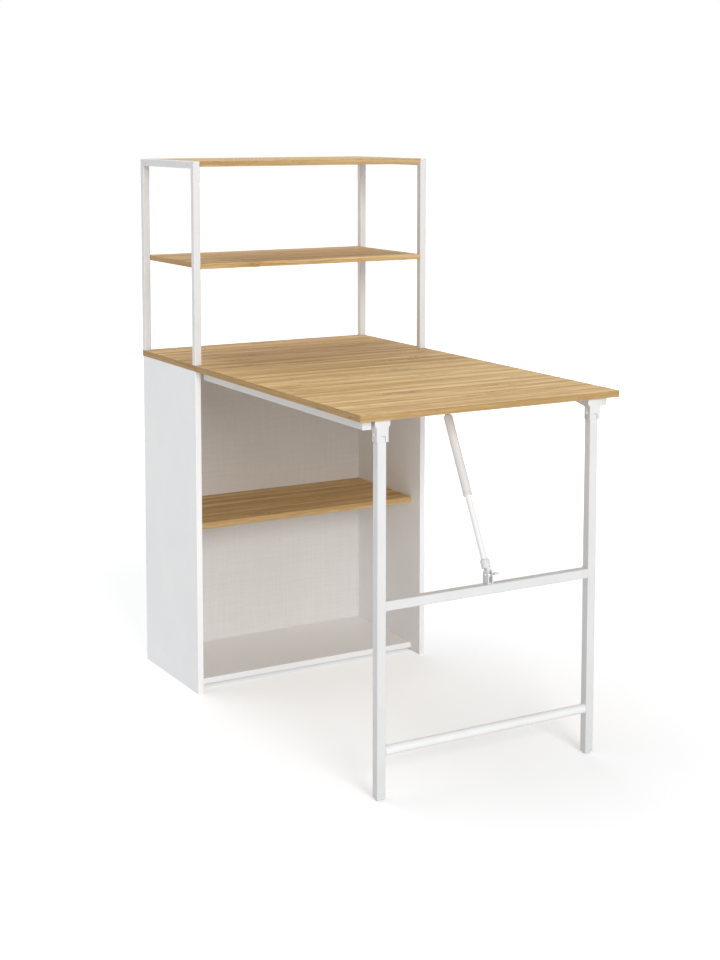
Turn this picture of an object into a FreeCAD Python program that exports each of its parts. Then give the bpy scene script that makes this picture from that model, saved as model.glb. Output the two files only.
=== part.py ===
import FreeCAD, Part
import math
import os

from FreeCAD import Placement, Rotation, Vector

# Folding desk with an open cabinet and a hutch. X runs across, Y from the leaf's free end to
# the back, Z up from the floor. The origin is on the floor, under the middle of the open desk.

# Whole desk, in millimetres
desk_width = 600.0
cabinet_depth = 300.0
leaf_length = 733.0
table_height = 750.0
overall_height = 1200.0
seam_gap = 1.0

# Boards
board = 13.5
middle_shelf_board = 14.5
hutch_board = 12.0
back_board = 3.0
edge_round = 0.8
bottom_board_lift = 7.0
bottom_board_recess = 41.0
middle_shelf_top = 382.5
middle_shelf_recess = 41.0
hutch_shelf_top = 975.0
back_inset = 2.0

# Knock-down fittings that hold the boards together
dowel_radius = 3.0
dowel_length = 28.0
dowel_in_panel = 9.0
dowel_shares = (0.32, 0.68)
cam_radius = 6.0
cam_depth = 10.0
cam_setback = 24.0
bolt_radius = 2.5
bolt_in_panel = 9.0
bolt_head_radius = 3.2
bolt_head_length = 3.0
cam_shares = (0.18, 0.82)

# Nails of the back
nail_radius = 0.7
nail_length = 18.0
nail_head_radius = 1.8
nail_head_height = 0.6
nail_inset = 40.0
nails_per_side = 5
nails_per_board = 3

# Square tubes of the hutch
post_side = 16.0
post_wall = 1.2
tube_bend = 0.8
stud_radius = 3.0
stud_in_wood = 34.0
stud_in_post = 18.0
insert_length = 25.0

# Screws through the hutch tubes into the shelf ends
shelf_screw_radius = 1.8
shelf_screw_head_radius = 3.6
shelf_screw_head_height = 1.2
shelf_screw_in_shelf = 22.0
top_screw_inset = 26.0

# Hinges under the seam
hinge_places_shares = (-0.3, 0.0, 0.3)
hinge_length = 60.0
hinge_reach = 28.0
hinge_plate = 1.5
knuckle_radius = 3.0
knuckle_count = 3
knuckle_gap = 0.3
knuckle_relief = 0.6
hinge_pin_radius = 1.5
hinge_screw_share = 0.6
hinge_screw_spread_share = 0.32

# Wood screws under the leaf and the cabinet top
screw_radius = 1.75
screw_head_radius = 3.4
screw_head_height = 1.6
screw_in_wood = 9.0

# Rails under the leaf
rail_side = 19.0
rail_wall = 1.2
rail_inset = 16.0
rail_rear_gap = 10.0
rail_front_gap = 21.0
rail_cap_height = 2.0
rail_cap_stem = 12.0
rail_screw_shares = (0.06, 0.35, 0.65, 0.94)
rail_access_radius = 4.5

# Leg frame
leg_side = 19.0
leg_wall = 1.2
leg_inset = 53.5
leg_end_gap = 12.0
pivot_depth = 29.0
leg_plug_stem = 12.0
cross_bar_drop = 357.5
foot_bar_height = 95.5
foot_bar_radius = 9.5
glide_height = 9.0
glide_stem = 16.0
glide_chamfer_share = 0.7

# Folding brackets: one pressed sheet each, with a slit tongue that stops the leg
sheet = 1.5
cheek_gap = 1.5
plate_gap = 0.6
plate_height = 43.0
ear_reach = 4.0
ear_height = 11.0
ear_slope = 5.5
bracket_reach = 75.0
cheek_rear_height = 4.0
cheek_waist_height = 18.0
cheek_waist = 6.5
tongue_height = 12.0
tongue_width = 9.0
slit_offset = 4.5
slit_width = 1.6
leg_pin_radius = 3.0
leg_pin_head_radius = 4.5
leg_pin_head_height = 1.5
bracket_screw_shares = (0.30, 0.86)

# Telescopic strut between the leaf and the cross bar
strut_lean = 27.0
strut_pivot_depth = 9.8
strut_tube_radius = 9.2
strut_tube_wall = 1.5
strut_tube_chamfer = 1.0
strut_tube_share = 0.555
strut_rod_radius = 5.9
strut_piston_length = 10.0
strut_piston_gap = 1.0
gland_flange = 7.0
gland_stem = 8.0
gland_chamfer = 1.0
eye_radius = 5.75
eye_thickness = 6.0
upper_eye_neck = 32.0
upper_eye_stem = 11.0
strut_pin_radius = 2.5
strut_pin_head_radius = 4.0
strut_pin_head_height = 1.2
rod_end_start = 13.0
rod_end_length = 17.0
rod_end_radius = 9.0
rod_end_chamfer = 1.5
rod_end_socket = 12.0
mouth_slope = 14.5
mouth_clearance = 0.35

# Bracket that hangs the strut from the leaf
hanger_plate = 2.0
hanger_ear = 2.0
hanger_width = 30.0
hanger_front = 32.0
hanger_rear = 9.0
hanger_ear_radius = 6.5
hanger_screw_share = 0.6
hanger_screw_spread_share = 0.6

# Clevis on the cross bar, and the pin that is drawn out by its loop
clevis_sheet = 2.5
clevis_radius = 9.5
clevis_pin_height = 18.0
clevis_base_share = 0.55
pin_tip = 2.0
pin_collar_radius = 4.0
pin_collar_height = 2.0
pin_tail = 8.0
loop_radius = 5.5
loop_wire_radius = 0.7
loop_hole_radius = 1.5
loop_inset = 4.0

# Clearances: between fixed pieces, side by side, and on turning pins
fit_gap = 0.05
side_gap = 0.5
running_gap = 0.04
overrun = 1.0

# Places that follow from the sizes above
half_width = desk_width / 2
back_y = (cabinet_depth + seam_gap + leaf_length) / 2
front_y = back_y - cabinet_depth
hinge_y = front_y - seam_gap / 2
leaf_rear_y = front_y - seam_gap
leaf_end_y = leaf_rear_y - leaf_length
underside = table_height - board
bottom_board_mid = bottom_board_lift + board / 2
middle_shelf_mid = middle_shelf_top - middle_shelf_board / 2
panel_inner_x = half_width - board
panel_rear_y = back_y - back_board
post_inner_x = half_width - post_side
hinge_z = underside - knuckle_radius
leg_x = half_width - leg_inset
leg_y = leaf_end_y + leg_end_gap + leg_side / 2
pivot_z = underside - pivot_depth
channel_half = leg_side / 2 + cheek_gap + sheet
cross_bar_height = underside - cross_bar_drop
cross_bar_top = cross_bar_height + leg_side / 2
clevis_half = eye_thickness / 2 + side_gap + clevis_sheet
clevis_pin_point = Vector(0, leg_y, cross_bar_top + clevis_pin_height)
strut_pivot_z = underside - strut_pivot_depth
strut_rise = strut_pivot_z - clevis_pin_point.z
strut_length = strut_rise / math.cos(math.radians(strut_lean))
strut_tube_end = strut_tube_share * strut_length
strut_point = Vector(0, leg_y + strut_rise * math.tan(math.radians(strut_lean)), strut_pivot_z)
strut_down = (clevis_pin_point - strut_point) / strut_length

ACROSS = Vector(1, 0, 0)
BACK = Vector(0, 1, 0)
UP = Vector(0, 0, 1)
SIDES = {"left": -1, "right": 1}


# Shapes that several pieces share

def box(x0, x1, y0, y1, z0, z1):
    return Part.makeBox(x1 - x0, y1 - y0, z1 - z0, Vector(x0, y0, z0))


def eased_board(x0, x1, y0, y1, z0, z1):
    """Board with its edges just broken, as edge banding leaves them."""
    block = box(x0, x1, y0, y1, z0, z1)
    return block.makeFillet(edge_round, block.Edges)


def bar(radius, start, end):
    """Round bar from one point to another."""
    return Part.makeCylinder(radius, (end - start).Length, start, end - start)


def prism(points, along):
    """Closed outline pushed along a vector."""
    return Part.Face(Part.makePolygon(points + points[:1])).extrude(along)


def square_bar(side, corner, length):
    """Square bar on the origin, standing along Z, with its long edges rounded."""
    block = box(-side / 2, side / 2, -side / 2, side / 2, 0, length)
    uprights = [edge for edge in block.Edges if edge.BoundBox.ZLength > edge.BoundBox.DiagonalLength / 2]
    return block.makeFillet(corner, uprights)


def square_tube(side, wall, length):
    outer = square_bar(side, tube_bend + wall, length)
    return outer.cut(square_bar(side - 2 * wall, tube_bend, length))


def tube_plug(side, wall, length):
    """Plastic stem that fits inside a square tube."""
    return square_bar(side - 2 * wall - 2 * fit_gap, tube_bend, length)


def laid(shape, direction, point):
    """Shape made along Z, turned to a direction and moved to a point."""
    shape.Placement = Placement(point, Rotation(UP, direction))
    return shape


def drilled(shape, cutters):
    return shape.cut(cutters) if cutters else shape


def joined(shapes):
    whole = shapes[0].fuse(shapes[1:])
    return whole.removeSplitter()


def screw(radius, head_radius, head_height, length, seat, direction):
    """Pan-head screw: its head sits on seat, its shank runs along direction."""
    head = bar(head_radius, seat - direction * head_height, seat)
    return joined([head, bar(radius, seat, seat + direction * length)])


def wood_screw(seat, through):
    """Screw that points up, through a plate, into the board over it."""
    return screw(screw_radius, screw_head_radius, screw_head_height, through + screw_in_wood, seat, UP)


def screw_hole(seat, through):
    end = seat + UP * (through + screw_in_wood + fit_gap)
    return bar(screw_radius + fit_gap, seat - UP * overrun, end)


def save(name, *solids):
    shape = solids[0] if len(solids) == 1 else Part.makeCompound(list(solids))
    shape.exportStep("parts/%s.step" % name)


# Knock-down joints: dowels, and cams that pull bolts tight

def joint_places():
    """Yields the piece that takes the bolt, the piece that holds the cam, a point on the joint,
    the way into the cam's piece, the way to the cam's face, half the cam's board, and the kind."""
    inner_boards = (
        ("bottom_board", bottom_board_recess, bottom_board_mid, board),
        ("middle_shelf", middle_shelf_recess, middle_shelf_mid, middle_shelf_board),
    )
    kinds = [("cam", share) for share in cam_shares] + [("dowel", share) for share in dowel_shares]
    for side, sign in SIDES.items():
        panel = "side_panel_" + side
        for kind, share in kinds:
            for name, recess, height, thickness in inner_boards:
                y = front_y + recess + share * (cabinet_depth - back_board - recess)
                point = Vector(sign * panel_inner_x, y, height)
                yield panel, name, point, ACROSS * -sign, UP * -1, thickness / 2, kind
            y = front_y + share * (cabinet_depth - back_board)
            point = Vector(sign * (half_width - board / 2), y, underside)
            yield "cabinet_top", panel, point, UP * -1, ACROSS * -sign, board / 2, kind


def knock_down_fittings():
    """Makes the dowels, bolts and cams, and the holes that each board needs for them."""
    holes = {}
    made = {"panel_dowels": [], "cam_bolts": [], "cam_locks": []}
    for outer, inner, point, into, face, half, kind in joint_places():
        outer_holes = holes.setdefault(outer, [])
        inner_holes = holes.setdefault(inner, [])
        if kind == "dowel":
            start = point - into * dowel_in_panel
            end = start + into * dowel_length
            made["panel_dowels"].append(bar(dowel_radius, start, end))
            hole = bar(dowel_radius + fit_gap, start - into * fit_gap, end + into * fit_gap)
            outer_holes.append(hole)
            inner_holes.append(hole)
            continue
        tip = point - into * bolt_in_panel
        centre = point + into * cam_setback
        shank = bar(bolt_radius, tip, centre)
        head = bar(bolt_head_radius, centre - into * bolt_head_length, centre)
        made["cam_bolts"].append(joined([shank, head]))
        outer_holes.append(bar(bolt_radius + fit_gap, tip - into * fit_gap, point + into * overrun))
        channel = bar(bolt_head_radius + fit_gap, point - into * overrun, centre + into * fit_gap)
        mouth = centre + face * half
        lock = bar(cam_radius, mouth, mouth - face * cam_depth)
        made["cam_locks"].append(lock.cut(channel))
        floor = mouth - face * (cam_depth + fit_gap)
        inner_holes += [channel, bar(cam_radius + fit_gap, mouth + face * overrun, floor)]
    return made, holes


# Back: a thin board nailed on from behind

def nail_points():
    """Points on the back's rear face where a nail goes in."""
    rows = []
    low, high = bottom_board_lift + nail_inset, underside - nail_inset
    for sign in SIDES.values():
        x = sign * (half_width - board / 2)
        rows += [(x, low + (high - low) * i / (nails_per_side - 1)) for i in range(nails_per_side)]
    reach = panel_inner_x - nail_inset
    for z in (bottom_board_mid, middle_shelf_mid):
        rows += [(reach * (2 * i / (nails_per_board - 1) - 1), z) for i in range(nails_per_board)]
    return [Vector(x, back_y, z) for x, z in rows]


def nail(point, gap):
    shank = bar(nail_radius + gap, point, point - BACK * (nail_length + gap))
    head = bar(nail_head_radius + gap, point, point - BACK * (nail_head_height + gap))
    return joined([shank, head])


# Cabinet boards

def make_cabinet(made, holes):
    stud_holes = [bar(stud_radius + fit_gap, *ends) for ends in stud_ends(fit_gap).values()]
    nail_holes = [nail(point, fit_gap) for point in nail_points()]
    for side, sign in SIDES.items():
        name = "side_panel_" + side
        x0, x1 = sorted((sign * half_width, sign * panel_inner_x))
        panel = eased_board(x0, x1, front_y, panel_rear_y, 0, underside)
        save(name, drilled(panel, holes[name] + stud_holes + nail_holes))
    inner_boards = (
        ("bottom_board", bottom_board_recess, bottom_board_lift, board),
        ("middle_shelf", middle_shelf_recess, middle_shelf_top - middle_shelf_board, middle_shelf_board),
    )
    for name, recess, low, thickness in inner_boards:
        reach = panel_inner_x
        shelf = eased_board(-reach, reach, front_y + recess, panel_rear_y, low, low + thickness)
        save(name, drilled(shelf, holes[name] + nail_holes))
    top = eased_board(-half_width, half_width, front_y, back_y, underside, table_height)
    save("cabinet_top", drilled(top, holes["cabinet_top"] + stud_holes + hinge_screw_holes(1)))
    reach = half_width - back_inset
    back = box(-reach, reach, panel_rear_y, back_y, bottom_board_lift, underside)
    save("back_panel", drilled(back, nail_holes))
    save("back_nails", *[nail(point, 0) for point in nail_points()])
    for name, pieces in made.items():
        save(name, *pieces)


# Hutch: square-tube side frames with mitred corners, and two shelves between them

def post_centres():
    ends = {"front": front_y + post_side / 2, "rear": back_y - post_side / 2}
    for end, y in ends.items():
        for side, sign in SIDES.items():
            yield end, side, Vector(sign * (half_width - post_side / 2), y, table_height)


def stud_ends(gap):
    """Lowest and highest point of the stud under each post."""
    ends = {}
    for end, side, foot in post_centres():
        ends[end, side] = (foot - UP * (stud_in_wood + gap), foot + UP * (stud_in_post + gap))
    return ends


def mitre(sign, end, upper):
    """Wedge that takes away one side of the 45 degree cut at a frame's front or rear corner."""
    y_out = front_y if end == "front" else back_y
    inward = 1 if end == "front" else -1
    x0 = sign * half_width - sign * (post_side + overrun)
    far = post_side + overrun
    outer_top = (y_out - inward * overrun, overall_height + overrun)
    inner_low = (y_out + inward * far, overall_height - far)
    third = (inner_low[0], outer_top[1]) if upper else (outer_top[0], inner_low[1])
    points = [Vector(x0, y, z) for y, z in (outer_top, inner_low, third)]
    return prism(points, ACROSS * (sign * (post_side + 2 * overrun)))


def shelf_screws():
    """Screws through the posts into the hutch shelf, and through the top bars into the top shelf."""
    length = post_side + shelf_screw_in_shelf
    seats = []
    for end, side, foot in post_centres():
        sign = SIDES[side]
        inward = 1 if end == "front" else -1
        seats.append((sign, foot.y, hutch_shelf_top - hutch_board / 2))
        y_top = foot.y + inward * (top_screw_inset - post_side / 2)
        seats.append((sign, y_top, overall_height - hutch_board / 2))
    for sign, y, z in seats:
        yield Vector(sign * half_width, y, z), ACROSS * -sign, length


def make_hutch():
    screws = []
    screw_holes = []
    for seat, direction, length in shelf_screws():
        head = (shelf_screw_head_radius, shelf_screw_head_height)
        screws.append(screw(shelf_screw_radius, *head, length, seat, direction))
        start, end = seat - direction * overrun, seat + direction * (length + fit_gap)
        screw_holes.append(bar(shelf_screw_radius + fit_gap, start, end))
    save("shelf_screws", *screws)
    studs = stud_ends(0)
    inserts = []
    for end, side, foot in post_centres():
        post = laid(square_tube(post_side, post_wall, overall_height - table_height), UP, foot)
        save("post_%s_%s" % (end, side), post.cut([mitre(SIDES[side], end, True)] + screw_holes))
        plug = laid(tube_plug(post_side, post_wall, insert_length), UP, foot)
        inserts.append(plug.cut(bar(stud_radius + fit_gap, *studs[end, side])))
    save("post_inserts", *inserts)
    save("post_studs", *[bar(stud_radius, *ends) for ends in studs.values()])
    for side, sign in SIDES.items():
        start = Vector(sign * (half_width - post_side / 2), front_y, overall_height - post_side / 2)
        top_bar = laid(square_tube(post_side, post_wall, cabinet_depth), BACK, start)
        corners = [mitre(sign, end, False) for end in ("front", "rear")]
        save("top_bar_" + side, top_bar.cut(corners + screw_holes))
    for name, top in (("hutch_shelf", hutch_shelf_top), ("top_shelf", overall_height)):
        shelf = eased_board(-post_inner_x, post_inner_x, front_y, back_y, top - hutch_board, top)
        save(name, drilled(shelf, screw_holes))


# Hinges under the seam: one half on the cabinet top, one on the leaf

def hinge_centres():
    return [share * desk_width for share in hinge_places_shares]


def hinge_screw_seats(sign):
    """Seats of one half's screws: sign is 1 for the cabinet's half and -1 for the leaf's."""
    y = hinge_y + sign * hinge_reach * hinge_screw_share
    spread = hinge_length * hinge_screw_spread_share
    places = [x + s * spread for x in hinge_centres() for s in SIDES.values()]
    return [Vector(x, y, underside - hinge_plate) for x in places]


def hinge_screw_holes(sign):
    return [screw_hole(seat, hinge_plate) for seat in hinge_screw_seats(sign)]


def hinge_half(x, sign, own_knuckles):
    """Plate with its own knuckles rolled on, and relief beside the other half's."""
    x0 = x - hinge_length / 2
    step = hinge_length / knuckle_count
    near = hinge_y + sign * (knuckle_radius + knuckle_relief)
    far = hinge_y + sign * hinge_reach
    low = underside - hinge_plate
    pieces = [box(x0, x0 + hinge_length, min(near, far), max(near, far), low, underside)]
    for i in own_knuckles:
        a, b = x0 + i * step + knuckle_gap / 2, x0 + (i + 1) * step - knuckle_gap / 2
        pieces.append(box(a, b, min(hinge_y, near), max(hinge_y, near), low, underside))
        pieces.append(bar(knuckle_radius, Vector(a, hinge_y, hinge_z), Vector(b, hinge_y, hinge_z)))
    gap = fit_gap if sign > 0 else running_gap
    ends = [Vector(x + s * (hinge_length / 2 + overrun), hinge_y, hinge_z) for s in SIDES.values()]
    return joined(pieces).cut([bar(hinge_pin_radius + gap, *ends)] + hinge_screw_holes(sign))


def make_hinges():
    knuckles = range(knuckle_count)
    for name, sign in (("cabinet", 1), ("leaf", -1)):
        own = [i for i in knuckles if (i % 2 == 0) == (sign > 0)]
        save("hinge_plates_" + name, *[hinge_half(x, sign, own) for x in hinge_centres()])
        save("hinge_screws_" + name, *[wood_screw(seat, hinge_plate) for seat in hinge_screw_seats(sign)])
    half = ACROSS * (hinge_length / 2)
    centres = [Vector(x, hinge_y, hinge_z) for x in hinge_centres()]
    save("hinge_pins", *[bar(hinge_pin_radius, point - half, point + half) for point in centres])


# Leaf and its two rails

def rail_screw_seats():
    """Seats on the inside of each rail's top wall."""
    length = leaf_length - rail_rear_gap - rail_front_gap
    start = leaf_end_y + rail_front_gap
    x = half_width - rail_inset - rail_side / 2
    for sign in SIDES.values():
        for share in rail_screw_shares:
            yield Vector(sign * x, start + share * length, underside - rail_wall)


def make_leaf():
    leaf = eased_board(-half_width, half_width, leaf_end_y, leaf_rear_y, underside, table_height)
    holes = [screw_hole(seat, rail_wall) for seat in rail_screw_seats()]
    holes += [screw_hole(seat, sheet) for seat in bracket_screw_seats()]
    holes += [screw_hole(seat, hanger_plate) for seat in hanger_screw_seats()]
    save("leaf_board", drilled(leaf, holes + hinge_screw_holes(-1)))


def make_rails():
    start_y = leaf_end_y + rail_front_gap + rail_cap_height
    end_y = leaf_rear_y - rail_rear_gap - rail_cap_height
    caps = []
    cutters = [screw_hole(seat, rail_wall) for seat in rail_screw_seats()]
    for seat in rail_screw_seats():
        cutters.append(bar(rail_access_radius, seat - UP * rail_side, seat - UP * (rail_side / 2)))
    for side, sign in SIDES.items():
        middle = Vector(sign * (half_width - rail_inset - rail_side / 2), 0, underside - rail_side / 2)
        tube = laid(square_tube(rail_side, rail_wall, end_y - start_y), BACK, middle + BACK * start_y)
        save("leaf_rail_" + side, tube.cut(cutters))
        for y, outward in ((start_y, -1), (end_y, 1)):
            face = square_bar(rail_side, tube_bend + rail_wall, rail_cap_height)
            stem = tube_plug(rail_side, rail_wall, rail_cap_stem)
            face = laid(face, BACK * outward, middle + BACK * y)
            caps.append(joined([face, laid(stem, BACK * -outward, middle + BACK * y)]))
    save("rail_end_caps", *caps)
    save("rail_screws", *[wood_screw(seat, rail_wall) for seat in rail_screw_seats()])


# Folding brackets: a sheet-metal channel round each leg's top

def leg_tops():
    """Point on the leaf's underside over the middle of each leg."""
    return {side: Vector(sign * leg_x, leg_y, underside) for side, sign in SIDES.items()}


def bracket_screw_seats():
    for top in leg_tops().values():
        for share in bracket_screw_shares:
            yield top + BACK * (share * bracket_reach) - UP * sheet


def bracket_cheek(x):
    """Side of the channel: deep round the pivot, tapering towards its rear end."""
    front = -leg_side / 2 - plate_gap - sheet
    outline = (
        (front, 0), (front, -plate_height), (cheek_waist, -plate_height),
        (cheek_waist, -cheek_waist_height), (bracket_reach, -cheek_rear_height), (bracket_reach, 0),
    )
    return prism([Vector(x, y, z) for y, z in outline], ACROSS * sheet)


def bracket_plate():
    """Front plate: an ear each side at the top, and an angled slit that frees a tongue below."""
    y = -leg_side / 2 - plate_gap - sheet
    wide = channel_half + ear_reach
    outline = (
        (-wide, 0), (-wide, -ear_height), (-channel_half, -ear_height - ear_slope),
        (-channel_half, -plate_height), (channel_half, -plate_height),
        (channel_half, -ear_height - ear_slope), (wide, -ear_height), (wide, 0),
    )
    plate = prism([Vector(x, y, z) for x, z in outline], BACK * sheet)
    low, high = -plate_height, -plate_height + tongue_height
    right = slit_offset + slit_width
    depth = (y - overrun, y + sheet + overrun)
    level = box(right - tongue_width, right, *depth, high - slit_width, high)
    return plate.cut([level, box(slit_offset, right, *depth, low - overrun, high)])


def leg_bracket(top):
    front = -leg_side / 2 - plate_gap - sheet
    pieces = [
        box(-channel_half, channel_half, front, bracket_reach, -sheet, 0),
        bracket_cheek(-channel_half), bracket_cheek(channel_half - sheet),
        bracket_plate(),
    ]
    bracket = joined(pieces)
    bracket.translate(top)
    pivot = top - UP * pivot_depth
    reach = ACROSS * (channel_half + overrun)
    cutters = [screw_hole(seat, sheet) for seat in bracket_screw_seats()]
    return bracket.cut(cutters + [bar(leg_pin_radius + fit_gap, pivot - reach, pivot + reach)])


def rivet(radius, head_radius, head_height, centre, half):
    """Rivet across X with a flat head against each side."""
    start, end = centre - ACROSS * half, centre + ACROSS * half
    left = bar(head_radius, start - ACROSS * head_height, start)
    right = bar(head_radius, end, end + ACROSS * head_height)
    return joined([bar(radius, start, end), left, right])


def make_brackets():
    pins = []
    for side, top in leg_tops().items():
        save("leg_bracket_" + side, leg_bracket(top))
        pivot = top - UP * pivot_depth
        pins.append(rivet(leg_pin_radius, leg_pin_head_radius, leg_pin_head_height, pivot, channel_half))
    save("leg_pivot_pins", *pins)
    save("bracket_screws", *[wood_screw(seat, sheet) for seat in bracket_screw_seats()])


# Leg frame

def leg_crown(pivot):
    """What is cut off over a leg's pivot, to leave its top round."""
    across = (pivot.x - leg_side, pivot.x + leg_side, pivot.y - leg_side, pivot.y + leg_side)
    reach = ACROSS * (leg_side + overrun)
    block = box(*across, pivot.z, pivot.z + leg_side)
    return block.cut(bar(leg_side / 2, pivot - reach, pivot + reach))


def make_legs():
    plugs = []
    glides = []
    tube_top = pivot_z + leg_side / 2
    for side, sign in SIDES.items():
        foot = Vector(sign * leg_x, leg_y, glide_height)
        pivot = Vector(foot.x, leg_y, pivot_z)
        reach = ACROSS * leg_side
        pin_hole = bar(leg_pin_radius + running_gap, pivot - reach, pivot + reach)
        cutters = [leg_crown(pivot), pin_hole]
        tube = laid(square_tube(leg_side, leg_wall, tube_top - glide_height), UP, foot)
        save("leg_" + side, tube.cut(cutters))
        plug = tube_plug(leg_side, leg_wall, leg_plug_stem + leg_side / 2)
        plugs.append(laid(plug, UP, pivot - UP * leg_plug_stem).cut(cutters))
        pad = square_bar(leg_side, tube_bend + leg_wall, glide_height)
        rims = [edge for edge in pad.Edges if edge.BoundBox.ZLength < glide_height / 2]
        pad = pad.makeChamfer(glide_chamfer_share * (tube_bend + leg_wall), rims)
        pad.translate(Vector(foot.x, leg_y, 0))
        glides.append(joined([pad, laid(tube_plug(leg_side, leg_wall, glide_stem), UP, foot)]))
    save("leg_top_plugs", *plugs)
    save("leg_glides", *glides)
    inner = leg_x - leg_side / 2
    start = Vector(-inner, leg_y, cross_bar_height)
    save("cross_bar", laid(square_tube(leg_side, leg_wall, 2 * inner), ACROSS, start))
    ends = [Vector(s * inner, leg_y, foot_bar_height) for s in SIDES.values()]
    save("foot_bar", bar(foot_bar_radius, *ends).cut(bar(foot_bar_radius - leg_wall, *ends)))


# Clevis on the cross bar, with the pin and its pull loop

def ear_face(x, centre, radius, base):
    """Ear in the YZ plane: straight sides up from base, and a round top about centre."""
    side = BACK * radius
    middle = Vector(x, centre.y, centre.z)
    foot = Vector(x, centre.y, base)
    left, right = middle - side, middle + side
    top = middle + UP * (radius if base < centre.z else -radius)
    edges = [
        Part.LineSegment(foot - side, left).toShape(),
        Part.Arc(left, top, right).toShape(),
        Part.LineSegment(right, foot + side).toShape(),
        Part.LineSegment(foot + side, foot - side).toShape(),
    ]
    return Part.Face(Part.Wire(edges))


def make_clevis():
    point = clevis_pin_point
    ears = []
    for x in (-clevis_half, clevis_half - clevis_sheet):
        ears.append(ear_face(x, point, clevis_radius, cross_bar_top).extrude(ACROSS * clevis_sheet))
    base_half = clevis_base_share * clevis_radius
    base_y = (leg_y - base_half, leg_y + base_half)
    base = box(-clevis_half, clevis_half, *base_y, cross_bar_top, cross_bar_top + clevis_sheet)
    reach = ACROSS * (clevis_half + overrun)
    hole = bar(strut_pin_radius + running_gap, point - reach, point + reach)
    save("strut_clevis", joined(ears + [base]).cut(hole))


def make_release_pin():
    point = clevis_pin_point
    collar_x = clevis_half + fit_gap
    tail_x = collar_x + pin_collar_height + pin_tail
    shank = bar(strut_pin_radius, point - ACROSS * (clevis_half + pin_tip), point + ACROSS * tail_x)
    collar_start = point + ACROSS * collar_x
    collar = bar(pin_collar_radius, collar_start, collar_start + ACROSS * pin_collar_height)
    cross = point + ACROSS * (tail_x - loop_inset)
    reach = BACK * (strut_pin_radius + overrun)
    save("release_pin", joined([shank, collar]).cut(bar(loop_hole_radius, cross - reach, cross + reach)))
    save("pull_loop", Part.makeTorus(loop_radius, loop_wire_radius, cross + ACROSS * loop_radius, UP))


# Hanger under the leaf, and the telescopic strut

def hanger_screw_seats():
    y = strut_point.y - hanger_front * hanger_screw_share
    spread = hanger_width / 2 * hanger_screw_spread_share
    return [Vector(sign * spread, y, underside - hanger_plate) for sign in SIDES.values()]


def make_hanger():
    half = eye_thickness / 2 + side_gap
    front, rear = strut_point.y - hanger_front, strut_point.y + hanger_rear
    pieces = [box(-hanger_width / 2, hanger_width / 2, front, rear, underside - hanger_plate, underside)]
    for x in (-half - hanger_ear, half):
        pieces.append(ear_face(x, strut_point, hanger_ear_radius, underside).extrude(ACROSS * hanger_ear))
    reach = ACROSS * (half + hanger_ear + overrun)
    hole = bar(strut_pin_radius + fit_gap, strut_point - reach, strut_point + reach)
    cutters = [screw_hole(seat, hanger_plate) for seat in hanger_screw_seats()]
    save("strut_hanger", joined(pieces).cut(cutters + [hole]))
    save("hanger_screws", *[wood_screw(seat, hanger_plate) for seat in hanger_screw_seats()])
    head = (strut_pin_head_radius, strut_pin_head_height)
    save("strut_pivot_pin", rivet(strut_pin_radius, *head, strut_point, half + hanger_ear))


def down_strut(distance):
    """Point on the strut's axis, so far below its upper pivot."""
    return strut_point + strut_down * distance


def eye_tongue(centre, towards, length):
    """Flat tongue with a round end about centre, running towards the strut's middle."""
    half = eye_thickness / 2
    disc = bar(eye_radius, centre - ACROSS * half, centre + ACROSS * half)
    side = towards.cross(ACROSS) * eye_radius
    near, far = centre - ACROSS * half, centre - ACROSS * half + towards * length
    return disc, prism([near - side, near + side, far + side, far - side], ACROSS * eye_thickness)


def make_strut_tube():
    inner = strut_tube_radius - strut_tube_wall
    start, end = down_strut(upper_eye_neck), down_strut(strut_tube_end - gland_flange)
    tube = bar(strut_tube_radius, start, end)
    tube = tube.makeChamfer(strut_tube_chamfer, [edge for edge in tube.Edges if edge.Closed])
    save("strut_tube", tube.cut(bar(inner, start, end)))
    disc, tongue = eye_tongue(strut_point, strut_down, upper_eye_neck)
    stem = bar(inner - fit_gap, start, start + strut_down * upper_eye_stem)
    reach = ACROSS * eye_thickness
    hole = bar(strut_pin_radius + running_gap, strut_point - reach, strut_point + reach)
    save("strut_upper_eye", joined([disc, tongue, stem]).cut(hole))
    flange = bar(strut_tube_radius, end, end + strut_down * gland_flange)
    flange = flange.makeChamfer(gland_chamfer, [edge for edge in flange.Edges if edge.Closed])
    bush = bar(inner - fit_gap, end - strut_down * gland_stem, end)
    bore = bar(strut_rod_radius + running_gap, end - strut_down * strut_tube_end, down_strut(strut_length))
    save("strut_gland", joined([flange, bush]).cut(bore))


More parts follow.
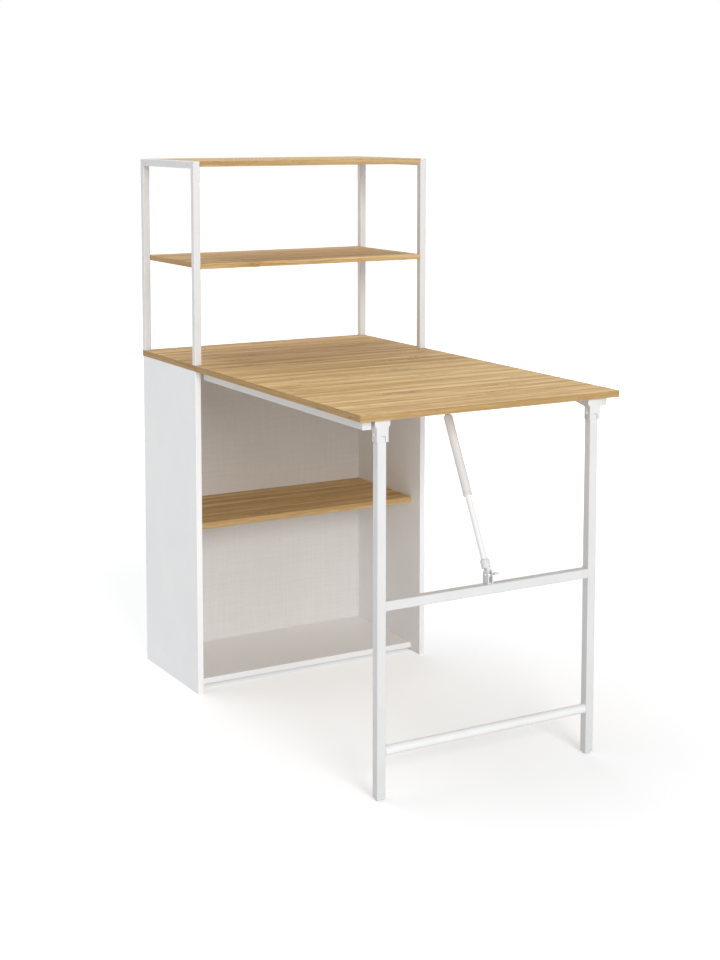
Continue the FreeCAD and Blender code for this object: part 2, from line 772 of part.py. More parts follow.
def make_strut_rod():
    eye = clevis_pin_point
    up = strut_down * -1
    barrel_low, barrel_high = eye + up * rod_end_start, eye + up * (rod_end_start + rod_end_length)
    socket = eye + up * (rod_end_start + rod_end_length - rod_end_socket)
    piston_low = down_strut(strut_tube_end - gland_flange - gland_stem - strut_piston_gap)
    piston_high = piston_low + up * strut_piston_length
    piston = bar(strut_tube_radius - strut_tube_wall - running_gap, piston_low, piston_high)
    save("strut_rod", joined([bar(strut_rod_radius, socket, piston_high), piston]))
    barrel = bar(rod_end_radius, barrel_low, barrel_high)
    barrel = barrel.makeChamfer(rod_end_chamfer, [edge for edge in barrel.Edges if edge.Closed])
    barrel = barrel.cut(bar(strut_rod_radius + fit_gap, socket - up * fit_gap, barrel_high + up * overrun))
    disc, tongue = eye_tongue(eye, up, rod_end_start + rod_end_chamfer)
    reach = ACROSS * eye_thickness
    hole = bar(strut_pin_radius + running_gap, eye - reach, eye + reach)
    slope = math.radians(mouth_slope)
    outward = up * math.sin(slope) - up.cross(ACROSS) * math.cos(slope)
    across = outward.cross(ACROSS) * (strut_pin_radius + mouth_clearance)
    start = eye - ACROSS * eye_thickness
    end = start + outward * (2 * eye_radius)
    outline = [start - across, start + across, end + across, end - across]
    mouth = prism(outline, ACROSS * (2 * eye_thickness))
    save("rod_end", joined([barrel, disc, tongue]).cut([hole, mouth]))


def main():
    os.makedirs("parts", exist_ok=True)
    made, holes = knock_down_fittings()
    make_cabinet(made, holes)
    make_hutch()
    make_hinges()
    make_leaf()
    make_rails()
    make_brackets()
    make_legs()
    make_clevis()
    make_release_pin()
    make_hanger()
    make_strut_tube()
    make_strut_rod()


main()
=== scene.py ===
import math

import bpy
from mathutils import Matrix, Vector


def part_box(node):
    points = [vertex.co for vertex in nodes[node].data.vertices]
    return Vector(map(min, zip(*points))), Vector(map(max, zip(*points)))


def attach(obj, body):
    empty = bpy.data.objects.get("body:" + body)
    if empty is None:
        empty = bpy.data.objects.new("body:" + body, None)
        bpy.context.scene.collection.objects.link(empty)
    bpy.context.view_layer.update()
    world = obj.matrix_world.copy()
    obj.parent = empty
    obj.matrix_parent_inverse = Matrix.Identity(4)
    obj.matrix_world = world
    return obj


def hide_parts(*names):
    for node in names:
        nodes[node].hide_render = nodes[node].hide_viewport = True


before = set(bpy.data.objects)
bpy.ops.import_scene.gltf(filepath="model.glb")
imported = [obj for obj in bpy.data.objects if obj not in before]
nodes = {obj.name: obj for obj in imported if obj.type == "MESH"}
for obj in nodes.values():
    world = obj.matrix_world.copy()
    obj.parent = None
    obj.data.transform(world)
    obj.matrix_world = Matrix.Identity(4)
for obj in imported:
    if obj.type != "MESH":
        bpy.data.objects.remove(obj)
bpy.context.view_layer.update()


# Side panels and bottom board: white melamine on chipboard, with a whiter edge band on every edge,
# partly the band's own colour and partly a painted highlight.
# The melamine has a fine pearl grain and a dull gloss. Dowels and cams pull the boards together.

class Shade:
    """One output socket in a material. Sums and products with it add Math nodes."""

    def __init__(self, tree, socket=None):
        self.tree = tree
        self.socket = socket

    def make(self, kind, settings, inputs, output=0):
        """Adds a node with its settings, then its sockets' values or links."""
        node = self.tree.nodes.new("ShaderNode" + kind)
        for name, value in settings.items():
            setattr(node, name, value)
        for key, value in inputs.items():
            if isinstance(value, Shade):
                self.tree.links.new(value.socket, node.inputs[key])
            else:
                node.inputs[key].default_value = value
        return Shade(self.tree, node.outputs[output])

    def math(self, operation, a, b=0.0):
        return self.make("Math", {"operation": operation}, {0: a, 1: b})

    def __add__(self, other):
        return self.math("ADD", self, other)

    def __sub__(self, other):
        return self.math("SUBTRACT", self, other)

    def __rsub__(self, other):
        return self.math("SUBTRACT", other, self)

    def __mul__(self, other):
        return self.math("MULTIPLY", self, other)

    def __gt__(self, other):
        return self.math("GREATER_THAN", self, other)

    __radd__ = __add__
    __rmul__ = __mul__

    def size(self):
        return self.math("ABSOLUTE", self)

    def larger(self, other):
        return self.math("MAXIMUM", self, other)

    def step(self, low=0.3, high=0.7):
        """Rises smoothly from 0 at low to 1 at high. The usual limits take in most of a noise."""
        edges = {"Value": self, "From Min": low, "From Max": high}
        return self.make("MapRange", {"interpolation_type": "SMOOTHSTEP"}, edges)

    def mix(self, first, second):
        """Colour that runs from first to second as this value goes from 0 to 1."""
        return self.make("Mix", {"data_type": "RGBA"}, {0: self, 6: first, 7: second}, 2)

    def place(self):
        """The point's X, Y and Z on the piece, in metres."""
        point = self.make("TexCoord", {}, {}, "Object")
        return [point.make("SeparateXYZ", {}, {0: point}, i) for i in range(3)]

    def looks_along(self, axis):
        """1 on faces that look along the piece's X, Y or Z, counted from 0, and 0 on the rest."""
        seen = self.make("NewGeometry", {}, {}, "True Normal")
        turn = {"vector_type": "NORMAL", "convert_from": "WORLD", "convert_to": "OBJECT"}
        normal = self.make("VectorTransform", turn, {"Vector": seen})
        return normal.make("SeparateXYZ", {}, {0: normal}, axis).size() > 0.5

    def noise(self, x, y, z, detail=2.0, roughness=0.5):
        """Noise about 0.5, at a place given by three sockets or numbers."""
        point = self.make("CombineXYZ", {}, {0: x, 1: y, 2: z})
        inputs = {"Vector": point, "Scale": 1.0, "Detail": detail, "Roughness": roughness}
        return self.make("TexNoise", {}, inputs)

    def pattern(self, waves, detail=2.0, roughness=0.5):
        """Noise over the piece, with so many waves to the metre along X, Y and Z."""
        x, y, z = [way * count for way, count in zip(self.place(), waves)]
        return self.noise(x, y, z, detail, roughness)

    def speckle(self, waves, detail=2.0, roughness=0.5):
        """Noise over the piece, with so many waves to the metre in every direction."""
        return self.pattern((waves, waves, waves), detail, roughness)

    def bump(self, strength, depth):
        """Normal of a surface that this value raises by depth, in metres."""
        return self.make("Bump", {}, {"Strength": strength, "Distance": depth, "Height": self})


def paint(red, green, blue):
    """Colour as seen on a screen, 0 to 255, made linear for a socket."""
    levels = [((c / 255 + 0.055) / 1.055) ** 2.4 for c in (red, green, blue)]
    return (*levels, 1.0)


def new_finish(name, sockets):
    """Material with these socket values, the start for its patterns, and a way to link them."""
    material = bpy.data.materials.new(name)
    material.use_nodes = True
    surface = material.node_tree.nodes["Principled BSDF"]
    for socket, value in sockets.items():
        surface.inputs[socket].default_value = value

    def link(socket, shade):
        material.node_tree.links.new(shade.socket, surface.inputs[socket])

    return material, Shade(material.node_tree), link


def dress(material, *names):
    """Gives CAD nodes a material in place of their plain one."""
    for name in names:
        mesh = nodes[name].data
        mesh.materials.clear()
        mesh.materials.append(material)


melamine_dull, melamine_bright = paint(247, 247, 248), paint(250, 250, 250)
# The band's white is partly its own whiter colour and partly a painted highlight on the edges.
band_white_and_highlight = paint(253, 253, 253)


def make_melamine(name, thin_axis):
    """Melamine on a board whose thin way is axis 0 for X or 2 for Z, with band on its edges.

    The band is whiter, partly by its own colour and partly as a painted highlight.
    """
    material, start, link = new_finish(name, {"Specular IOR Level": 0.35})
    grain = start.speckle(2600, roughness=0.6)
    board = start.speckle(9, detail=3).step().mix(melamine_dull, melamine_bright)
    link("Base Color", start.looks_along(thin_axis).mix(band_white_and_highlight, board))
    link("Roughness", 0.42 + 0.14 * grain)
    link("Normal", grain.bump(strength=0.2, depth=0.00003))
    return material


dress(make_melamine("panel_melamine", thin_axis=0), "side_panel_left", "side_panel_right")
dress(make_melamine("shelf_melamine", thin_axis=2), "bottom_board")


# Back panel: 3 mm fibreboard with a printed linen paper on both faces, nailed on from behind.
# The print is warm grey with a faint crossed thread pattern.

linen_dull, linen_bright = paint(224, 221, 219), paint(231, 229, 227)
thread_count, thread_drift = 900, 30
slub_count, slub_drift = 260, 9


def make_linen():
    """Linen print whose threads and thicker slubs run along the panel's X and Z."""
    material, start, link = new_finish("linen_paper", {"Specular IOR Level": 0.25})
    warp = start.pattern((thread_count, 1, thread_drift), roughness=0.6)
    weft = start.pattern((thread_drift, 1, thread_count), roughness=0.6)
    slub = start.pattern((slub_count, 1, slub_drift)) + start.pattern((slub_drift, 1, slub_count))
    weave = 0.3 * (warp + weft) + 0.2 * slub
    link("Base Color", weave.step(0.35, 0.65).mix(linen_dull, linen_bright))
    link("Roughness", 0.6 + 0.2 * weave)
    link("Normal", weave.bump(strength=0.3, depth=0.00008))
    return material


dress(make_linen(), "back_panel")


# Fittings inside the boards: beech dowels, steel bolts with zinc cam locks, and back nails.
# A cam is die-cast with a cross slot for a screwdriver, and lies flush in its drilled pocket.

zinc_dull, zinc_bright = paint(196, 198, 201), paint(224, 225, 226)
beech_dark, beech_light = paint(186, 150, 110), paint(214, 180, 140)
smooth_angle = math.radians(32)
merge_reach = 1e-6
cam_rim, cam_dish = 0.0006, 0.0008
cam_lip_share, cam_dish_taper = 0.125, 0.92
cam_slot_length, cam_slot_width, cam_slot_depth = 0.0076, 0.0014, 0.0032


def make_zinc():
    material, start, link = new_finish("zinc_plate", {"Metallic": 1.0, "Anisotropic": 0.2})
    spangle = start.speckle(260, detail=3)
    brushed = start.pattern((1500, 220, 1500), detail=3, roughness=0.7)
    link("Base Color", spangle.step().mix(zinc_dull, zinc_bright))
    link("Roughness", 0.26 + 0.2 * brushed)
    link("Normal", brushed.bump(strength=0.2, depth=0.00003))
    return material


def make_beech():
    material, start, link = new_finish("beech", {"Specular IOR Level": 0.3})
    fleck = start.pattern((90, 900, 900), detail=3, roughness=0.6)
    link("Base Color", fleck.step().mix(beech_dark, beech_light))
    link("Roughness", 0.7 - 0.2 * fleck)
    link("Normal", fleck.bump(strength=0.3, depth=0.0001))
    return material


def start_clean():
    """Back in object mode with nothing selected."""
    if bpy.context.object and bpy.context.object.mode != "OBJECT":
        bpy.ops.object.mode_set(mode="OBJECT")
    bpy.ops.object.select_all(action="DESELECT")


def pick_faces(up):
    """Selects, in edit mode, the active piece's faces that look straight up, or down for -1."""
    bpy.ops.object.mode_set(mode="EDIT")
    bpy.ops.mesh.select_mode(type="FACE")
    bpy.ops.mesh.select_all(action="DESELECT")
    bpy.ops.object.mode_set(mode="OBJECT")
    for face in bpy.context.object.data.polygons:
        face.select = up * face.normal.z > 0.99
    bpy.ops.object.mode_set(mode="EDIT")


def pull_faces(distance):
    """Extrudes the picked faces along Z."""
    bpy.ops.mesh.extrude_region_move(TRANSFORM_OT_translate={"value": (0, 0, distance)})


def add_cylinder(radius, depth, middle, sides):
    """Upright cylinder to start a turned piece from."""
    start_clean()
    bpy.ops.mesh.primitive_cylinder_add(
        vertices=sides, radius=radius, depth=depth, location=middle)
    bpy.ops.object.transform_apply(location=True, rotation=True, scale=True)
    return bpy.context.object


def apply_modifier(piece, kind, **settings):
    modifier = piece.modifiers.new(kind.lower(), kind)
    for name, value in settings.items():
        setattr(modifier, name, value)
    bpy.context.view_layer.objects.active = piece
    bpy.ops.object.modifier_apply(modifier=modifier.name)


def merged_copy(node, name):
    """Copy of a CAD node's mesh as a new piece, its loose triangles merged."""
    start_clean()
    piece = bpy.data.objects.new(name, nodes[node].data.copy())
    bpy.context.scene.collection.objects.link(piece)
    bpy.context.view_layer.objects.active = piece
    piece.select_set(True)
    bpy.ops.object.mode_set(mode="EDIT")
    bpy.ops.mesh.select_all(action="SELECT")
    bpy.ops.mesh.remove_doubles(threshold=merge_reach)
    bpy.ops.object.mode_set(mode="OBJECT")
    return piece


def solid_boxes(node):
    """Lowest and highest corner of each solid in a CAD node, measured on a copy."""
    merged_copy(node, "measure_" + node)
    bpy.ops.mesh.separate(type="LOOSE")
    boxes = []
    for part in list(bpy.context.selected_objects):
        corners = list(zip(*[vertex.co for vertex in part.data.vertices]))
        boxes.append((Vector(map(min, corners)), Vector(map(max, corners))))
        bpy.data.objects.remove(part)
    return sorted(boxes, key=lambda box: tuple(box[0]))


def cut_cross(piece, length, width, depth, top):
    """Cuts a cross slot into a piece that stands on the Z axis, down from its top."""
    for turn in (0, math.pi / 2):
        start_clean()
        bpy.ops.mesh.primitive_cube_add(size=1, location=(0, 0, top), rotation=(0, 0, turn))
        cutter = bpy.context.object
        cutter.scale = (length, width, 2 * depth)
        bpy.ops.object.transform_apply(location=True, rotation=True, scale=True)
        apply_modifier(piece, "BOOLEAN", operation="DIFFERENCE", object=cutter, solver="EXACT")
        bpy.data.objects.remove(cutter)


def finish_piece(piece, body, finish, node=None):
    """Smooths a piece, gives it its material, and puts it in a CAD node's place."""
    slot, material = finish
    start_clean()
    piece.select_set(True)
    bpy.context.view_layer.objects.active = piece
    bpy.ops.object.shade_smooth_by_angle(angle=smooth_angle)
    piece.data.materials.clear()
    piece.data.materials.append(material)
    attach(piece, body)
    if node:
        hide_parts(node)


def plant(model, name, seats, body, finish, node):
    """Copies of a model, one per seat and outward direction, joined as one piece for a node."""
    start_clean()
    for seat, outward in seats:
        copy = bpy.data.objects.new(name, model.data.copy())
        turn = outward.to_track_quat("Z", "Y").to_matrix().to_4x4()
        copy.data.transform(Matrix.Translation(seat) @ turn)
        bpy.context.scene.collection.objects.link(copy)
        copy.select_set(True)
        bpy.context.view_layer.objects.active = copy
    bpy.ops.object.join()
    bpy.data.objects.remove(model)
    piece = bpy.context.object
    piece.name = name
    finish_piece(piece, body, finish, node)


def make_cam(radius, depth):
    """Cam that stands on the Z axis: its slotted face is at Z = 0 and its body below."""
    cam = add_cylinder(radius, depth, (0, 0, -depth / 2), sides=32)
    pick_faces(up=1)
    bpy.ops.mesh.bevel(offset=cam_rim, segments=2, affect="EDGES")
    pick_faces(up=1)
    bpy.ops.mesh.inset(thickness=cam_lip_share * radius)
    pull_faces(-cam_dish)
    bpy.ops.transform.resize(value=(cam_dish_taper, cam_dish_taper, 1))
    bpy.ops.object.mode_set(mode="OBJECT")
    cut_cross(cam, cam_slot_length, cam_slot_width, cam_slot_depth, -cam_dish)
    return cam


def cam_seats(boxes):
    """A cam in a panel shows its face to the inside, and one in a shelf shows it below."""
    for low, high in boxes:
        middle = (low + high) / 2
        inward = -1 if middle.x > 0 else 1
        if high.x - low.x < high.z - low.z:
            face = Vector((high.x if inward > 0 else low.x, middle.y, middle.z))
            yield face, Vector((inward, 0, 0))
        else:
            yield Vector((middle.x, middle.y, low.z)), Vector((0, 0, -1))


zinc_plate = make_zinc()
zinc_finish = ("zinc_steel", zinc_plate)
dress(zinc_plate, "cam_bolts", "back_nails")
dress(make_beech(), "panel_dowels")
cam_boxes = solid_boxes("cam_locks")
cam_sizes = sorted(cam_boxes[0][1] - cam_boxes[0][0])
cam = make_cam(cam_sizes[2] / 2, cam_sizes[0])
plant(cam, "slotted_cams", cam_seats(cam_boxes), "cabinet", zinc_finish, "cam_locks")


# Oak boards: the middle shelf, cabinet top, leaf and both hutch shelves. Oak print on chipboard,
# grain along the desk's width, with a matching edge band whose grain runs along each edge.

oak_dark, oak_light = paint(193, 157, 102), paint(239, 206, 153)
# The last of these browns is the edge band's own, and the edges and board ends also take it on as
# painted shade.
oak_streak, oak_pore, oak_band_and_shade = paint(172, 135, 82), paint(112, 78, 40), paint(156, 124, 80)
sway_width, band_waver, face_waver = 0.016, 0.006, 0.001
print_stride = 0.37
# The board ends are darkened further as painted shade; each board's long edges are darkened by its
# own amount, partly the band's browner colour and partly painted shade.
end_painted_shade = 0.6
edge_band_and_shade_depths = {
    "middle_shelf": 0.3,
    "cabinet_top": 0.35,
    "leaf_board": 0.55,
    "hutch_shelf": 0.15,
    "top_shelf": 0.4,
}


def make_oak(name, slide, band_and_shade_depth):
    """Oak print with its own stretch of grain, moved by slide metres.

    The long edges take the band colour by the given depth, partly the band's own browner colour
    and partly painted shade; the board ends take more of it, as painted shade.
    """
    material, start, link = new_finish(name, {"Specular IOR Level": 0.18})
    x, y, z = start.place()
    on_end = start.looks_along(0)
    on_face = start.looks_along(2)
    along = x + on_end * (y - x) + slide
    across = z + on_face * (y - z) + slide
    sway = start.noise(along * 1.4, across * 5, slide) - 0.5
    waver = start.noise(along * 22, across * 40, slide) - 0.5
    waver_width = band_waver - (band_waver - face_waver) * on_face
    line = across + sway_width * sway + waver_width * waver

    def grain(lengthwise, crosswise, layer, detail=2.0, roughness=0.5):
        """Noise with so many waves to the metre along the grain and across it."""
        return start.noise(along * lengthwise, line * crosswise, slide + layer, detail, roughness)

    growth = grain(1.1, 38, 0, detail=5, roughness=0.74)
    streaks = grain(2.6, 190, 1, detail=4, roughness=0.62).step(0.46, 0.66)
    fibres = grain(20, 620, 2, detail=3, roughness=0.7)
    patches = grain(7, 34, 3).step(0.6, 0.68)
    pores = grain(70, 1100, 4).step(0.48, 0.6)
    tone = 0.7 * growth + 0.3 * fibres
    plain = tone.step(0.41, 0.59).mix(oak_dark, oak_light)
    streaked = (0.62 * streaks).mix(plain, oak_streak)
    marked = (pores * (0.05 + 0.7 * patches)).mix(streaked, oak_pore)
    # Painted shade: the long edges mix band colour with painted shade, and the ends a darker
    # painted shade.
    band_and_painted_shade = (1 - on_face) * (band_and_shade_depth + (end_painted_shade - band_and_shade_depth) * on_end)
    link("Base Color", band_and_painted_shade.mix(marked, oak_band_and_shade))
    link("Roughness", 0.68 - 0.16 * tone)
    link("Normal", (tone - 0.4 * pores).bump(strength=0.25, depth=0.00006))
    return material


for index, board in enumerate(edge_band_and_shade_depths):
    dress(make_oak("oak_" + board, print_stride * index, edge_band_and_shade_depths[board]), board)


# Hutch: two welded frames of 16 mm square steel tube, white powder coated with a faint orange
# peel. Each frame stands on studs, and cross-head screws through its tubes hold the two shelves.

plastic_dull, plastic_bright = paint(218, 219, 219), paint(225, 225, 224)
crown_share = 0.6
recess_length_share, recess_width_share, recess_depth_share = 1.15, 0.22, 0.7
tip_share, tip_taper = 0.2, 0.2
shelf_screw_head, shelf_screw_shank = 0.0012, 0.0018


def make_powder_coat(name, dull, bright):
    """Powder coat whose grey level drifts between two values, 0 to 255."""
    material, start, link = new_finish(name, {"Specular IOR Level": 0.45})
    peel = start.speckle(700)
    greys = paint(dull, dull, dull), paint(bright, bright, bright)
    link("Base Color", start.speckle(14).step().mix(*greys))
    link("Roughness", 0.36 + 0.16 * peel)
    link("Normal", peel.bump(strength=0.18, depth=0.00006))
    return material


def make_plastic():
    """Moulded plastic that is a little translucent, with the mould's fine spark-eroded grain."""
    sockets = {"Subsurface Weight": 0.08, "Subsurface Scale": 0.002}
    material, start, link = new_finish("white_plastic", sockets)
    erosion = start.speckle(1800, roughness=0.6)
    link("Base Color", start.speckle(60).step().mix(plastic_dull, plastic_bright))
    link("Roughness", 0.45 + 0.15 * erosion)
    link("Normal", erosion.bump(strength=0.2, depth=0.00005))
    return material


def make_screw(head_radius, head_height, shank_radius, shank_length):
    """Cross-head screw on the Z axis: its head stands on Z = 0, and its shank ends in a point."""
    screw = add_cylinder(head_radius, head_height, (0, 0, head_height / 2), sides=28)
    pick_faces(up=1)
    bpy.ops.mesh.bevel(offset=crown_share * head_height, segments=4, affect="EDGES")
    pick_faces(up=-1)
    bpy.ops.mesh.inset(thickness=head_radius - shank_radius)
    straight = shank_length * (1 - tip_share)
    pull_faces(-straight)
    pull_faces(straight - shank_length)
    bpy.ops.transform.resize(value=(tip_taper, tip_taper, 1))
    bpy.ops.object.mode_set(mode="OBJECT")
    recess = (recess_length_share * head_radius, recess_width_share * head_radius)
    cut_cross(screw, *recess, recess_depth_share * head_height, head_height)
    return screw


def plant_screws(node, body, finish, head_height, shank_radius):
    """Puts cross-head screws in place of a node's plain ones, which lie along X or stand."""
    boxes = solid_boxes(node)
    size = boxes[0][1] - boxes[0][0]
    lies = size.x > size.z
    seats = []
    for low, high in boxes:
        middle = (low + high) / 2
        if lies:
            out = 1 if middle.x > 0 else -1
            face = high.x if out > 0 else low.x
            seat = Vector((face - out * head_height, middle.y, middle.z))
            seats.append((seat, Vector((out, 0, 0))))
        else:
            seat = Vector((middle.x, middle.y, low.z + head_height))
            seats.append((seat, Vector((0, 0, -1))))
    shank_length = (size.x if lies else size.z) - head_height
    screw = make_screw(size.y / 2, head_height, shank_radius, shank_length)
    plant(screw, "cross_head_" + node, seats, body, finish, node)


white_powder_coat = make_powder_coat("white_powder_coat", dull=220, bright=223)
coat_finish = ("white_steel", white_powder_coat)
white_plastic = make_plastic()
# The hutch takes the same white powder coat painted a little lighter, as painted light on the
# posts, which the lamps light less than the legs.
hutch_painted_light_coat = make_powder_coat("hutch_painted_light_coat", dull=228, bright=231)
for side in ("left", "right"):
    dress(hutch_painted_light_coat, "post_front_" + side, "post_rear_" + side, "top_bar_" + side)
dress(white_plastic, "post_inserts")
dress(zinc_plate, "post_studs")
plant_screws("shelf_screws", "cabinet", coat_finish, shelf_screw_head, shelf_screw_shank)


# Leaf hinges: three pairs of zinc-plated steel plates under the seam, rolled round a steel pin.
# Each plate has two cross-head wood screws.

wood_screw_head, wood_screw_shank = 0.0016, 0.00175

dress(zinc_plate, "hinge_plates_cabinet", "hinge_plates_leaf", "hinge_pins")
for body in ("cabinet", "leaf"):
    plant_screws("hinge_screws_" + body, body, zinc_finish, wood_screw_head, wood_screw_shank)


# Leaf rails: two 19 mm square tubes that stiffen the leaf, closed by moulded white caps.
# Wood screws go in from below, through access holes in each rail's lower wall.

dress(white_powder_coat, "leaf_rail_left", "leaf_rail_right")
dress(white_plastic, "rail_end_caps")
plant_screws("rail_screws", "leaf", zinc_finish, wood_screw_head, wood_screw_shank)


# Folding brackets and strut hanger: pressed from sheet steel, so every edge is a little rounded,
# and white powder coated with their rivets. Wood screws hold them under the leaf.

press_round, rivet_round = 0.0004, 0.0006
flat_angle, sharp_angle = math.radians(1), math.radians(40)


def whole_faced_copy(node, name, cut_height=None):
    """Merged copy of a CAD node with each flat face in one piece, cut off below a height."""
    piece = merged_copy(node, name)
    bpy.ops.object.mode_set(mode="EDIT")
    bpy.ops.mesh.select_all(action="SELECT")
    bpy.ops.mesh.dissolve_limited(angle_limit=flat_angle)
    if cut_height:
        bpy.ops.mesh.select_all(action="SELECT")
        bpy.ops.mesh.bisect(
            plane_co=(0, 0, cut_height), plane_no=(0, 0, 1), use_fill=True, clear_inner=True)
    bpy.ops.object.mode_set(mode="OBJECT")
    return piece


def round_edges(piece, width):
    """Rounds the sharp edges of a piece."""
    apply_modifier(
        piece, "BEVEL", width=width, segments=2, limit_method="ANGLE", angle_limit=sharp_angle)


def soften(node, name, body, width, finish):
    """Replaces a CAD node by a copy with its sharp edges rounded."""
    piece = whole_faced_copy(node, name)
    round_edges(piece, width)
    finish_piece(piece, body, finish, node)


for side in ("left", "right"):
    soften("leg_bracket_" + side, "pressed_bracket_" + side, "leaf", press_round, coat_finish)
soften("strut_hanger", "pressed_hanger", "leaf", press_round, coat_finish)
soften("leg_pivot_pins", "leg_rivets", "leaf", rivet_round, coat_finish)
soften("strut_pivot_pin", "hanger_rivet", "leaf", rivet_round, zinc_finish)
for node in ("bracket_screws", "hanger_screws"):
    plant_screws(node, "leaf", zinc_finish, wood_screw_head, wood_screw_shank)


# Leg frame: two 19 mm square tubes with a square cross bar and a round foot bar welded between
# them, each weld a low bead round the bar's end. Moulded plugs close the tubes' tops, and moulded
# glides with a square cap and a round foot close their lower ends.

glide_round, foot_round = 0.0006, 0.0014
foot_radius, foot_height, foot_seat = 0.007, 0.0045, 0.0005
bead, bead_ripple, ripple_size = 0.0011, 0.0004, 0.004
collar_share, collar_round_share = 1.4, 0.8


def make_glides():
    """Replaces the glides by copies with a square cap under the tube and a round foot below it."""
    boxes = solid_boxes("leg_glides")
    piece = whole_faced_copy("leg_glides", "moulded_glides", foot_height)
    round_edges(piece, glide_round)
    depth = foot_height + foot_seat
    for low, high in boxes:
        middle = (low + high) / 2
        foot = add_cylinder(foot_radius, depth, (middle.x, middle.y, depth / 2), sides=40)
        pick_faces(up=-1)
        bpy.ops.mesh.bevel(offset=foot_round, segments=3, affect="EDGES")
        bpy.ops.object.mode_set(mode="OBJECT")
        apply_modifier(piece, "BOOLEAN", operation="UNION", object=foot, solver="EXACT")
        bpy.data.objects.remove(foot)
    finish_piece(piece, "leg_frame", ("white_plastic", white_plastic), "leg_glides")


def bar_end(node, end):
    """Middle of a bar's left end, 0, or right end, 1, and the bar's sizes."""
    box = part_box(node)
    low, high = [Vector(corner) for corner in box]
    middle = (low + high) / 2
    return (box[end][0], middle.y, middle.z), high - low


def finish_weld(piece, name):
    """Gives a weld bead its name and its uneven surface."""
    piece.name = name
    ripple = bpy.data.textures.new(name + "_ripple", "CLOUDS")
    ripple.noise_scale = ripple_size
    apply_modifier(piece, "DISPLACE", texture=ripple, strength=bead_ripple, mid_level=0.5)
    finish_piece(piece, "leg_frame", coat_finish)


def weld_square(name, place, bar):
    """Bead round the end of a square bar that runs along X."""
    start_clean()
    bpy.ops.mesh.primitive_cube_add(size=1, location=place)
    collar = bpy.context.object
    collar.scale = (2 * bead, bar.y + collar_share * bead, bar.z + collar_share * bead)
    bpy.ops.object.transform_apply(location=True, rotation=True, scale=True)
    round_width = collar_round_share * bead
    apply_modifier(collar, "BEVEL", width=round_width, segments=4, limit_method="ANGLE")
    bpy.ops.object.mode_set(mode="EDIT")
    bpy.ops.mesh.select_all(action="SELECT")
    bpy.ops.mesh.subdivide(number_cuts=6)
    bpy.ops.object.mode_set(mode="OBJECT")
    finish_weld(collar, name)


def weld_round(name, place, bar):
    """Bead round the end of a round bar that runs along X."""
    start_clean()
    bpy.ops.mesh.primitive_torus_add(
        major_radius=bar.z / 2, minor_radius=bead, major_segments=72, minor_segments=10,
        location=place, rotation=(0, math.pi / 2, 0))
    bpy.ops.object.transform_apply(location=True, rotation=True, scale=True)
    finish_weld(bpy.context.object, name)


# The foot bar and the strut rod take the same white powder coat painted lighter, as a painted
# highlight on their round tops.
painted_highlight_coat = make_powder_coat("painted_highlight_coat", dull=238, bright=241)
dress(white_powder_coat, "leg_left", "leg_right", "cross_bar")
dress(painted_highlight_coat, "foot_bar")
dress(white_plastic, "leg_top_plugs")
make_glides()
for end, side in enumerate(("left", "right")):
    weld_square("cross_bar_weld_" + side, *bar_end("cross_bar", end))
    weld_round("foot_bar_weld_" + side, *bar_end("foot_bar", end))


# Telescopic strut: a steel tube with a moulded gland, and a rod whose hooked end drops on the
# clevis. A zinc-plated release pin with a wire loop holds it there.

dress(white_powder_coat, "strut_tube", "strut_upper_eye")
# The strut rod's lighter coat is a painted highlight.
dress(painted_highlight_coat, "strut_rod")
dress(white_plastic, "strut_gland")
soften("rod_end", "hooked_rod_end", "strut_lower", press_round, coat_finish)
soften("strut_clevis", "pressed_clevis", "leg_frame", press_round, coat_finish)
soften("release_pin", "turned_release_pin", "pin", press_round, zinc_finish)
dress(zinc_plate, "pull_loop")


# Floor: a wide pale sheet under the desk, which takes its shadow and fades into the backdrop.
# It glows only where it is seen directly or in a reflection, and more so farther away.

floor_reach = 30.0
floor_white = (0.85, 0.86, 0.875, 1.0)
near_lift, far_lift = 0.34, 0.80
lift_start, lift_end = 1.0, 7.0


def seen_flag(start):
    """1 on rays from the camera, a glossy surface or glass, and 0 on the rest."""
    kinds = ("Is Camera Ray", "Is Glossy Ray", "Is Transmission Ray")
    camera_ray, glossy_ray, glass_ray = [start.make("LightPath", {}, {}, kind) for kind in kinds]
    return camera_ray.larger(glossy_ray).larger(glass_ray)


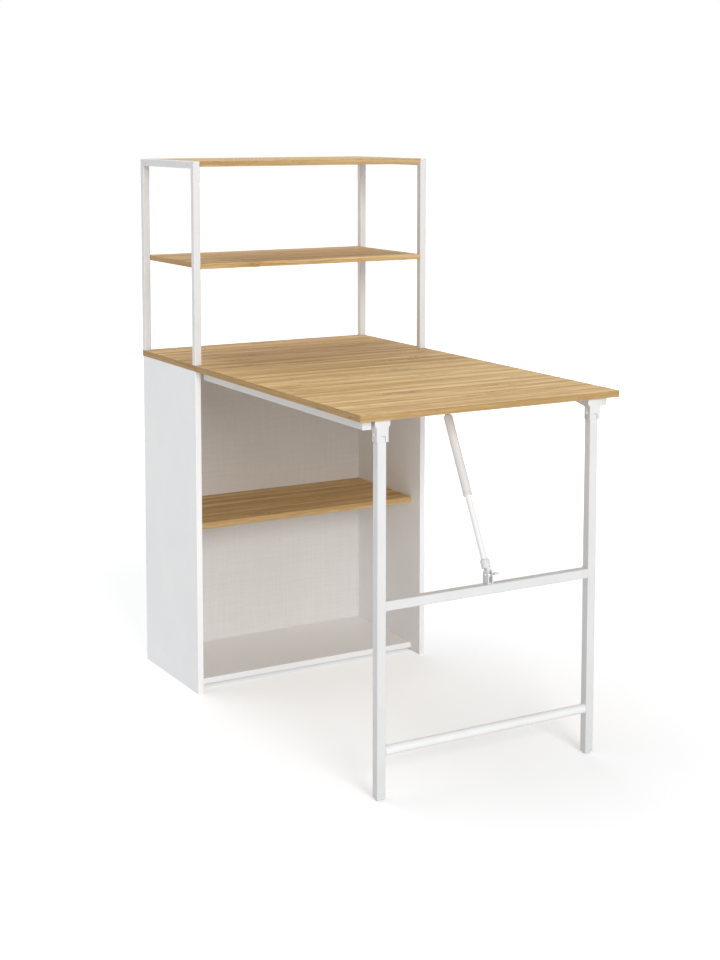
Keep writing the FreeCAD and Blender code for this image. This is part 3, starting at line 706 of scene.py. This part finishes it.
def make_floor():
    """Floor sheet whose glow rises between two squared distances from the desk's middle."""
    start_clean()
    bpy.ops.mesh.primitive_plane_add(size=2 * floor_reach, location=(0, 0, 0))
    floor = bpy.context.object
    floor.name = "floor"
    sockets = {"Base Color": floor_white, "Roughness": 1.0, "Specular IOR Level": 0.0}
    material, start, link = new_finish("floor_sheet", {**sockets, "Emission Strength": 1.0})
    x, y = start.place()[:2]
    away = (x * x + y * y).step(lift_start, lift_end)
    link("Emission Color", (near_lift + (far_lift - near_lift) * away) * seen_flag(start))
    floor.data.materials.append(material)


make_floor()


# Studio light: an even white surround, and three broad round lamps: in front, above, and at the
# left. Seen directly the surround is white, and it lights the desk at a lower level.

surround_level = 0.39


def make_surround():
    world = bpy.data.worlds.new("studio")
    bpy.context.scene.world = world
    world.use_nodes = True
    tree = world.node_tree
    level = surround_level + (1 - surround_level) * seen_flag(Shade(tree))
    tree.links.new(level.socket, tree.nodes["Background"].inputs["Color"])


def add_lamp(name, place, target, width, watts):
    lamp = bpy.data.lights.new(name, "AREA")
    lamp.shape = "DISK"
    lamp.size = width
    lamp.energy = watts
    holder = bpy.data.objects.new(name, lamp)
    bpy.context.scene.collection.objects.link(holder)
    holder.location = place
    holder.rotation_euler = (Vector(target) - Vector(place)).to_track_quat("-Z", "Y").to_euler()


make_surround()
add_lamp("front_lamp", place=(-1.05, -7.0, 2.95), target=(0, 0, 0.5), width=3.15, watts=308)
add_lamp("top_lamp", place=(-0.68, 2.38, 5.97), target=(0, 0, 0.7), width=6.1, watts=158)
add_lamp("left_lamp", place=(-4.0, 0.3, 0.6), target=(0, 0, 0.3), width=1.1, watts=11)


# Camera: at the photograph's place, a little above the top shelf, looking slightly down.
# Its lens is shifted, so that the posts and legs stay nearly parallel in the picture.

picture_width, picture_height = 720, 960
focal_pixels = 1687.88
axis_pixel = (352.17, 299.3)
camera_place = (-1.82112, -3.16706, 1.28576)
camera_yaw, camera_pitch = 29.57, 6.0

camera = bpy.data.cameras.new("camera")
camera.lens = focal_pixels * camera.sensor_width / picture_height
camera.shift_x = (picture_width / 2 - axis_pixel[0]) / picture_height
camera.shift_y = (axis_pixel[1] - picture_height / 2) / picture_height
camera_holder = bpy.data.objects.new("camera", camera)
bpy.context.scene.collection.objects.link(camera_holder)
camera_holder.location = camera_place
camera_holder.rotation_euler = (math.radians(90 - camera_pitch), 0, math.radians(-camera_yaw))
bpy.context.scene.camera = camera_holder
bpy.context.scene.view_settings.view_transform = "Standard"
